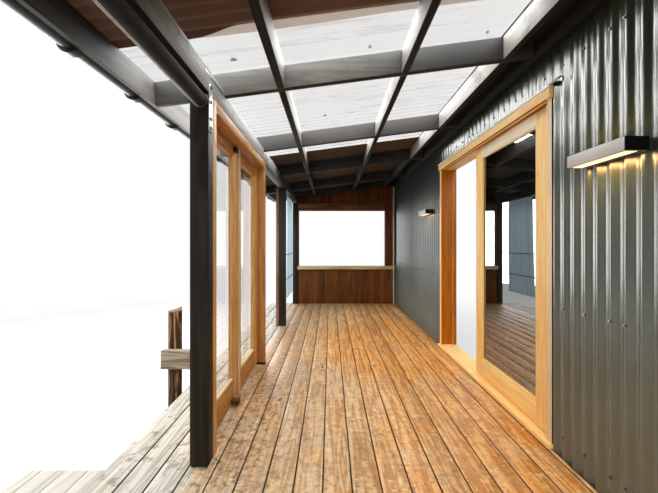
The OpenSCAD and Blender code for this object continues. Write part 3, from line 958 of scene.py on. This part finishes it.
def make_wall_screws():
    """Hexagonal screws with washers, on the crests of the wall sheets."""
    jamb_low, jamb_high = node_box("door_jambs")
    head = rod((WALL_X - 0.008, 0, 0), (WALL_X - 0.002, 0, 0), 0.006, "bolt", 6)
    washer = rod((WALL_X - 0.003, 0, 0), (WALL_X + 0.001, 0, 0), 0.0085, "bolt", 12)
    pattern = join("screw", [head, washer])
    parts = []
    for height in SCREW_HEIGHTS:
        for wave in range(1, 104, 2):
            y = WAVE_ZERO + (wave + (1 if wave % 5 == 0 else 0)) * WAVE
            at_door = jamb_low[1] - 0.02 < y < jamb_high[1] + 0.02 and height < DOOR_SCREWS_BELOW
            if not at_door and y < 3.9:
                parts.append(copied(pattern, (0, y, up(height))))
    bpy.data.objects.remove(pattern)
    place_piece("wall_screws", parts, "charcoal_cladding")


def make_roof_sheets():
    def shape(far_side, y, deep):
        x = WALL_X if far_side else EAVE_X
        return (x, y, under_roof(x) + RAFTER_RISE + SHEET_LIFT + deep)
    for name, node, start, end, finish, slot in (
            ("brown_sheets_near", "roof_near", -4.0, CLEAR_FROM, "brown_roof", "brown_roofing"),
            ("clear_sheets", "roof_clear", CLEAR_FROM, CLEAR_TO, "clear_roof", "clear_roofing"),
            ("brown_sheets_far", "roof_far", CLEAR_TO, 4.0, "brown_roof_far", "brown_roofing")):
        sheet = wave_sheet(start, end, ROOF_WAVE_STEPS, shape, finish)
        if sheet.data.polygons[0].normal.z < 0:
            sheet.data.flip_normals()
        place_piece(name, [thicken(sheet, SHEET_SKIN, 1)], slot, node, smooth=50)


# Door

BEAD = 0.012
BEAD_SET = 0.0036
RAIL_SET = 0.0005
HALF_PANE = 0.003
GROOVE = 0.006
NEAR_JAMB = 0.044
FAR_JAMB = 0.05
FOLD_SKIN = 0.003


def glazed_leaf(box, stile, top, base, middle, upright, head, foot, bead):
    """Stiles, rails and beads of a glazed leaf in the YZ plane, and the place of its pane."""
    (x0, y0, z0), (x1, y1, z1) = box
    near, far, low, high = y0 + stile, y1 - stile, z0 + base, z1 - top
    parts = [block((x0, y0, z0), (x1, near, z1), upright, 0.003, 3),
             block((x0, far, z0), (x1, y1, z1), upright, 0.003, 3),
             block((x0 + RAIL_SET, near, high), (x1 - RAIL_SET, far, z1), head, 0.002, 2),
             block((x0 + RAIL_SET, near, z0), (x1 - RAIL_SET, far, low), foot, 0.002, 2)]
    for front, back in ((x0 + BEAD_SET, middle - HALF_PANE), (middle + HALF_PANE, x1 - BEAD_SET)):
        ease = min(0.004, (back - front) / 3)
        parts += [block((front, near, low), (back, near + BEAD, high), upright, ease, 3),
                  block((front, far - BEAD, low), (back, far, high), upright, ease, 3),
                  block((front, near + BEAD, high - BEAD), (back, far - BEAD, high), head, ease, 3),
                  block((front, near + BEAD, low), (back, far - BEAD, low + BEAD), bead, ease, 3)]
    return parts, (middle, near, far, low, high)


def pane(opening, finish):
    """The glass of a leaf, let into its groove all round."""
    middle, near, far, low, high = opening
    return block((middle - HALF_PANE, near - GROOVE, low - GROOVE),
                 (middle + HALF_PANE, far + GROOVE, high + GROOVE), finish, 0.0008, 1)


def make_door():
    low, high = node_box("door_jambs")
    near_edge, far_edge = low[1] + NEAR_JAMB, high[1] - FAR_JAMB
    near_jamb = block(low, (high[0], near_edge, high[2]), "jamb_end", 0.0025, 3)
    # Painted shade: the far jamb and its stop are shaded cedar, with lit cedar only on their faces towards
    # the open side
    far_jamb = block((low[0], far_edge, low[2]), high, "cedar_shade", 0.0025, 3)
    stop = block((high[0] - 0.04, far_edge - 0.012, low[2]), (high[0], far_edge, high[2]), "cedar_shade")
    parts = [repaint(near_jamb, "dark_steel", faces_near), repaint(far_jamb, "cedar_z", faces_out),
             repaint(stop, "cedar_z", faces_out)]
    place_piece("door_jambs_cedar", parts, "cedar_joinery", "door_jambs")
    head_low, head_high = node_box("door_head")
    parts = [block(head_low, head_high, "cedar_y", 0.0025, 3)]
    # Painted shade: two dark strips under the head for the shadows of its grooves
    for start, end in ((0.002, 0.015), (0.042, 0.054)):
        parts.append(block((head_low[0] + start, near_edge, head_low[2] - 0.001),
                           (head_low[0] + end, far_edge, head_low[2] + 0.002), "cedar_groove_shade", 0))
    place_piece("door_head_cedar", parts, "cedar_joinery", "door_head")
    place_plain("door_sill_cedar", "door_sill", "cedar_y", "cedar_joinery", 0.004, 3)
    make_flashing(low[1], high[1], head_high[2])
    make_leaf("fixed_leaf", "fixed_glass", HOUSE)
    make_leaf("sliding_leaf", "sliding_glass", DOOR)


def make_leaf(node, glass_node, body):
    low, high = node_box(node)
    parts, opening = glazed_leaf((low, high), 0.108, 0.082, 0.15, (low[0] + high[0]) / 2, "cedar_z",
                                 "cedar_bleached", "cedar_y", "cedar_y")
    if body == DOOR:
        pull_y = high[1] - 0.054
        parts.append(block((high[0] - 0.004, pull_y - 0.018, up(0.94)),
                           (high[0] + 0.001, pull_y + 0.018, up(1.12)), "bolt"))
    place_piece("door_" + node, parts, "cedar_joinery", node, body=body)
    place_piece("door_" + glass_node, [pane(opening, "door_glass")], "window_glass", glass_node, body=body)


def make_flashing(near_edge, far_edge, head):
    """Folded strip over the door head: a bright lip between the jambs, painted as a highlight, with a
    painted shadow line under it, dark past the jambs.
    """
    low, high = node_box("door_flashing")
    inner, top = low[0] + FOLD_SKIN, head + FOLD_SKIN
    parts = []
    for start, end, finish in ((near_edge, far_edge, "lip_highlight"), (low[1], near_edge, "dark_steel"),
                               (far_edge, high[1], "dark_steel")):
        parts.append(block((low[0], start, low[2]), (inner, end, top), finish, 0.0006, 1))
        back = WALL_X
        if finish == "lip_highlight":
            back = high[0]
            # Painted shadow: a dark line under the bright lip
            parts.append(block((low[0] + 0.001, start, low[2] - 0.004), (inner + 0.0005, end, low[2]),
                               "dark_steel", 0.0004, 1))
        parts.append(block((inner, start, head + 0.001), (back, end, top + 0.001), "dark_steel", 0.0006, 1,
                           0.005))
    place_piece("door_head_flashing", parts, "dark_steel", "door_flashing")


LAMP_STARTS = (-1.326, 1.444)
LAMP_LENGTH = 0.323
LIT_SHARE = 0.72


def make_lamps():
    low, high = node_box("wall_lamps")
    rim = node_box("lamp_lenses")[0][0] - low[0]
    lit_to = low[0] + rim + LIT_SHARE * (high[0] - low[0] - 2 * rim)
    lens_foot, lens_top = low[2] - 0.001, low[2] + 0.004
    shells, lenses = [], []
    for start in LAMP_STARTS:
        end = start + LAMP_LENGTH
        shells += [block((low[0], start, low[2]), (high[0], end, high[2]), "lamp", 0.0015),
                   block((low[0] - 0.0002, start - 0.0008, low[2]), (high[0], start + 0.003, high[2]),
                         "lamp_end", 0.0008, 1)]
        lenses += [block((low[0] + rim, start + rim, lens_foot), (lit_to, end - rim, lens_top), "lens",
                         0.0008, 1),
                   block((lit_to, start + rim, lens_foot), (high[0] - rim, end - rim, lens_top),
                         "lamp_end", 0.0008, 1)]
    place_piece("lamp_shells", shells, "lamp_metal", "wall_lamps")
    place_piece("lamp_lit_lenses", lenses, "lamp_lens", "lamp_lenses")


# Folding screen

LEAF_GAP = 0.004
LEAF_THICK = 0.045
LEAF_TOP = 1.945


def make_screen():
    low, high = node_box("screen_frame")
    jamb, head, shoe = 0.054, 0.062, 0.022
    near, far = low[1] + jamb, high[1] - jamb
    parts = [block(low, (high[0], near, high[2]), "gold_z", 0.0025, 3),
             block((low[0], far, low[2] + shoe), high, "gold_deep", 0.0025, 3),
             block((low[0], far, low[2]), (high[0], high[1], low[2] + shoe), "post"),
             block((low[0], near, high[2] - head), (high[0], far, high[2]), "gold_y", 0.0025, 3)]
    place_piece("screen_frame_cedar", parts, "cedar_joinery", "screen_frame")
    leaf_low, leaf_high = node_box("screen_leaves")
    inside = leaf_low[0] + LEAF_THICK
    fold = (leaf_high[1] - leaf_low[1] + LEAF_GAP) / 2
    top = up(LEAF_TOP)
    parts, panes = [], []
    for start in (leaf_low[1], leaf_low[1] + fold):
        box = ((leaf_low[0], start, leaf_low[2]), (inside, start + fold - LEAF_GAP, top))
        made, opening = glazed_leaf(box, 0.095, 0.076, 0.166, leaf_low[0] + 0.011, "gold_z", "gold_y",
                                    "gold_y", "bead")
        pin = (leaf_low[0] + LEAF_THICK / 2, start + (fold - LEAF_GAP) / 2)
        parts += [*made, rod((*pin, top), (*pin, top + 0.01), 0.005, "bolt", 16)]
        panes.append(pane(opening, "glass"))
    # The cover's near face is painted pale as the highlight on the meeting stiles
    meeting = leaf_low[1] + fold
    cover = block((inside, meeting - 0.001, leaf_low[2]), (inside + 0.02, meeting + 0.017, top), "gold_z",
                  0.003)
    guide_y, carrier_y = low[1] + 0.565, low[1] + 0.62
    parts += [repaint(cover, "bead_z", faces_near),
              block((inside, guide_y, up(0.018)), (inside + 0.055, guide_y + 0.05, up(0.052)), "low_wall"),
              block((inside, carrier_y, top - 0.05), (inside + 0.028, carrier_y + 0.05, top - 0.014),
                    "black_steel"),
              block((inside, carrier_y + 0.01, top - 0.014),
                    (inside + 0.022, carrier_y + 0.04, top + 0.008), "zinc", 0.001)]
    place_piece("screen_leaves_cedar", parts, "cedar_joinery", "screen_leaves")
    place_piece("screen_panes", panes, "window_glass", "screen_glass")


# End wall

END_FRONT = 3.87
END_BACK = 3.96
HEADER_RISE = 0.15
STUD_LEFT = WALL_X - 0.2
STUD_RIGHT = WALL_X - 0.05


def slant_top(item, rise):
    """Lifts only the top of a block's +X end, so that its top follows the roof."""
    reach = 0.01
    right = max(vertex.co.x for vertex in item.data.vertices)
    top = max(vertex.co.z for vertex in item.data.vertices)
    for vertex in item.data.vertices:
        if vertex.co.x > right - reach and vertex.co.z > top - reach:
            vertex.co.z += rise
    return item


def end_boards(left, right):
    """The two sides of each upright board of the end wall."""
    for index in range(math.ceil((right - left) / END_BOARD)):
        yield left + index * END_BOARD, min(left + (index + 1) * END_BOARD, right)


def to_roof(left, right, front, low):
    """An upright board or stud of the end wall that runs up to the slope of the roof."""
    item = block((left, front, low), (right, END_BACK, under_roof(left)), "red_z", 0.003)
    return slant_top(item, ROOF_FALL * (right - left))


def make_end_wall():
    low, high = node_box("end_low_wall")
    parts = [block((left, low[1], low[2]), (right, high[1], high[2]), "low_wall", 0.003)
             for left, right in end_boards(low[0], high[0])]
    place_piece("end_wall_boards", parts, "red_brown_timber", "end_low_wall")
    place_plain("end_wall_ledge", "end_ledge", "ledge", "pale_timber", 0.006, 3)
    header_low, header_high = node_box("end_header")
    ledger_low = node_box("wall_ledger")[0][2]
    low, high = node_box("end_studs")
    parts = [block((low[0], END_FRONT, low[2]), (low[0] + 0.02, END_BACK, header_low[2]), "red_z"),
             to_roof(STUD_LEFT, STUD_RIGHT, END_FRONT, low[2]),
             block((STUD_RIGHT, END_FRONT + 0.03, low[2]), (WALL_X, END_BACK, ledger_low), "red_z", 0.001)]
    place_piece("end_wall_studs", parts, "red_brown_timber", "end_studs")
    parts = [block((header_low[0], END_FRONT, header_low[2]),
                   (header_high[0], END_FRONT + 0.04, header_low[2] + HEADER_RISE), "red_x", 0.003)]
    parts += [to_roof(left, right, END_FRONT + 0.025, header_low[2])
              for left, right in end_boards(header_low[0], header_high[0])]
    place_piece("end_wall_header", parts, "red_brown_timber", "end_header")


# Blind, curtain and the post at the edge

BLIND_X = -0.5055
BLIND_Z = 2.372
BLIND_REACH = 0.038
HEM_REACH = 0.0378
HEM_TURNS = (232, 256)
BRACKET = 0.008


def make_blind():
    """Rolled-up blind with the two edges of its hem bar, pale as their painted highlights, and a bracket at
    each end.
    """
    low, high = node_box("roller_blind")
    x, z = BLIND_X, BLIND_Z
    start, end = low[1] + BRACKET, high[1] - BRACKET
    parts = [rod((x, start, z), (x, end, z), BLIND_REACH, "blind", 48, 0.001)]
    # The hem bar's edges are thin pale rods: a real bar, painted pale as its highlights
    for turn in HEM_TURNS:
        side, drop = (HEM_REACH * way(math.radians(turn)) for way in (math.cos, math.sin))
        parts.append(rod((x + side, start, z + drop), (x + side, end, z + drop), 0.0028, "hem_bar_and_highlight", 12))
    for y in (low[1], end):
        ring = added(bpy.ops.mesh.primitive_torus_add, major_radius=0.0408, minor_radius=0.0022,
                     major_segments=40, minor_segments=8, location=(x, y, z),
                     rotation=(math.radians(90), 0, 0))
        parts += [rod((x, y, z), (x, y + BRACKET, z), 0.043, "lamp_end", 48, 0.001),
                  block((x - 0.015, y, z), (x + 0.015, y + BRACKET, BEAM_LOW), "lamp_end", 0.001),
                  wear(settle(ring), "bolt")]
    place_piece("rolled_blind", parts, "blind_cloth", "roller_blind")


CURTAIN_TOP_WIDTH = 0.74
CURTAIN_FOLDS = 9
CURTAIN_CREASES = 23


def make_curtain():
    """Thin curtain gathered into folds, wider at its foot."""
    low, high = node_box("bay_curtain")
    item = added(bpy.ops.mesh.primitive_grid_add, x_subdivisions=120, y_subdivisions=36, size=1)
    middle_x = (low[0] + high[0]) / 2
    for vertex in item.data.vertices:
        share = vertex.co.x + 0.5
        drop = 0.5 - vertex.co.y
        width = CURTAIN_TOP_WIDTH + (high[1] - low[1] - CURTAIN_TOP_WIDTH) * drop ** 0.7
        folds = math.sin(math.tau * CURTAIN_FOLDS * share + 0.8 * math.sin(5 * drop))
        folds += 0.4 * math.sin(math.tau * CURTAIN_CREASES * share + 2 * drop)
        vertex.co = (middle_x + folds * (0.006 + 0.006 * drop), high[1] - width * (1 - share),
                     high[2] - drop * (high[2] - low[2]))
    thicken(wear(item, "curtain"), 0.0012, 0)
    cloth = place_piece("bay_curtain_cloth", [item], "curtain_cloth", "bay_curtain", smooth=180)


EDGE_X = -1.1865
EDGE_Y = 0.234
EDGE_REACH = 0.058
EDGE_FALL = 0.036


def make_edge_post():
    """Round post, worn out of true everywhere but behind the sleeper, with its top sawn off at a slope."""
    top = node_box("edge_post")[1][2]
    sleeper_low, sleeper_high = node_box("edge_sleeper")
    item = settle(added(bpy.ops.mesh.primitive_cylinder_add, vertices=48, radius=EDGE_REACH,
                        depth=top, location=(EDGE_X, EDGE_Y, top / 2)))
    in_edit(item, select_mesh, lambda: bpy.ops.mesh.subdivide(number_cuts=5))
    for vertex in item.data.vertices:
        out = Vector((vertex.co.x - EDGE_X, vertex.co.y - EDGE_Y, 0))
        angle = math.atan2(out.y, out.x)
        z = vertex.co.z
        worn = 0.03 * (1 + math.sin(3 * angle + 2.2 * z)) / 2 + 0.025 * (1 + math.sin(7 * angle - z)) / 2
        behind_sleeper = sleeper_low[2] <= z <= sleeper_high[2] and out.y < -0.03
        if out.length > 0.04 and not behind_sleeper:
            vertex.co.x = EDGE_X + out.x * (1 - worn)
            vertex.co.y = EDGE_Y + out.y * (1 - worn)
        if z > top - 0.001:
            vertex.co.z = top - 0.002 - EDGE_FALL * (EDGE_REACH - out.x) / (2 * EDGE_REACH)
    place_piece("edge_log", [wear(item, "log")], "log_timber", "edge_post", smooth=40)
    place_plain("log_sleeper", "edge_sleeper", "silvered_x", "weathered_timber", 0.006, 3)


# Nodes that keep their solids, and their finishes
KEPT_SOLIDS = (("deck_joists", "framing_x"), ("deck_bearers", "framing"), ("deck_piles", "framing"),
               ("step_frame", "silvered"), ("fascia_board", "fascia"), ("gutter", "dark_steel"),
               ("roof_apron", "dark_steel"), ("bay_rails", "black_steel"), ("corner_pipe", "pipe"),
               ("wall_near", "lining"), ("wall_far", "lining"), ("wall_over_door", "lining"),
               ("wall_under_door", "lining"))

make_deck()
make_posts()
make_strap()
make_roof_frame()
make_cladding()
make_wall_screws()
make_roof_sheets()
make_door()
make_lamps()
make_screen()
make_end_wall()
make_blind()
make_curtain()
make_edge_post()
for kept_node, kept_finish in KEPT_SOLIDS:
    wear(NODES[kept_node], kept_finish)


# Floor, backdrop and light

def seen_rays(tree):
    """1 for what the eye sees, plainly, in a reflection or through glass, and 0 for the light on things."""
    path = add(tree, "LightPath").outputs
    seen = larger(path["Is Camera Ray"], path["Is Glossy Ray"])
    return larger(seen, path["Is Transmission Ray"])


def make_stage():
    """Pale floor that goes over into white further out, with a painted shadow, dark to the eye, right under
    the deck.
    """
    floor = added(bpy.ops.mesh.primitive_plane_add, size=60, location=(0, 0, -0.002))
    floor.name = "pale_floor"
    material, shader, place = new_material("pale_floor", 0.9)
    tree = material.node_tree
    seen = seen_rays(tree)
    x, y, _ = separate(place)
    outward = larger(divided(away_from(x, 0.24), 1.25), divided(away_from(y, 0.0), 3.96))
    # Painted shadow: the floor shows dark right under the deck
    shown_with_painted_shadow = mix(band(outward, 0.8, 1.0), grey(0.06), grey(0.9))
    feed(shader, Base_Color=mix(seen, grey(0.25), shown_with_painted_shadow))
    white = add(tree, "Emission", {"Color": grey(1), "Strength": 1.0})
    fade = times(band(distance(place, (0, 0, 0)), 3.0, 9.0), seen)
    feed(tree.nodes["Material Output"],
         Surface=put("MixShader", {0: fade, 1: shader.outputs[0], 2: white.outputs[0]})[0])
    floor.data.materials.append(material)


def make_world():
    """White to the eye and in reflections, and a plain soft light on everything else."""
    world = bpy.data.worlds.new("soft_white")
    bpy.context.scene.world = world
    world.use_nodes = True
    tree = world.node_tree
    tree.nodes.clear()
    light = add(tree, "Background", {"Color": (0.98, 0.99, 1.0, 1), "Strength": 0.7})
    white = add(tree, "Background", {"Color": grey(1), "Strength": 1.0})
    blend = put("MixShader", {0: seen_rays(tree), 1: light.outputs[0], 2: white.outputs[0]})
    add(tree, "OutputWorld", {"Surface": blend[0]})


def add_area(name, place, aim, size, level, colour=(1, 1, 1), diffuse=True, gloss=False):
    """A soft light of a given level of brightness, that lights things, shows in reflections, or both."""
    data = bpy.data.lights.new(name, "AREA")
    data.shape = "RECTANGLE"
    data.size, data.size_y = size
    data.energy = level * math.pi * size[0] * size[1]
    data.color = colour
    lamp = bpy.data.objects.new(name, data)
    bpy.context.scene.collection.objects.link(lamp)
    lamp.location = place
    lamp.rotation_euler = (Vector(aim) - Vector(place)).to_track_quat("-Z", "Y").to_euler()
    lamp.visible_camera = False
    lamp.visible_diffuse = diffuse
    lamp.visible_glossy = gloss
    lamp.visible_transmission = False


def make_lights():
    add_area("over_clear_roof", (0.3, 0.1, 5.2), (0.3, 0.1, 2.6), (4.2, 3.4), 4.2)
    add_area("open_side", (-6.5, 0.5, 2.6), (0.5, 0.3, 1.2), (3.0, 9.0), 4.2)
    add_area("behind_eye", (-0.5, -8, 2.4), (0.4, 0, 1.2), (4, 3), 4.1)
    add_area("near_fill", (0.45, -2.6, 2.38), (0.45, -2.6, 0.4), (1.6, 2.2), 1.25)
    add_area("far_fill", (0.45, 2.6, 2.3), (0.45, 2.6, 0.4), (1.6, 2.0), 1.2)
    add_area("bright_open_side", (-4.5, 5.4, 2.6), (0.4, 1.0, 1.6), (7.6, 4.6), 10.0, diffuse=False,
             gloss=True)
    add_area("bright_roof", (0.0, 1.5, 3.4), (0.0, 1.5, 2.6), (5.0, 6.0), 17.0, diffuse=False, gloss=True)
    for start in LAMP_STARTS:
        y = start + LAMP_LENGTH / 2
        add_area("lamp_glow", (1.405, y, 1.979), (1.405, y, 1.0), (0.1, 0.29), 30.0, (1.0, 0.52, 0.18),
                 gloss=True)
        add_area("lamp_spill", (1.46, y, 2.09), (1.46, y, 3.0), (0.04, 0.29), 16.0, (1.0, 0.45, 0.15),
                 gloss=True)


make_stage()
make_world()
make_lights()
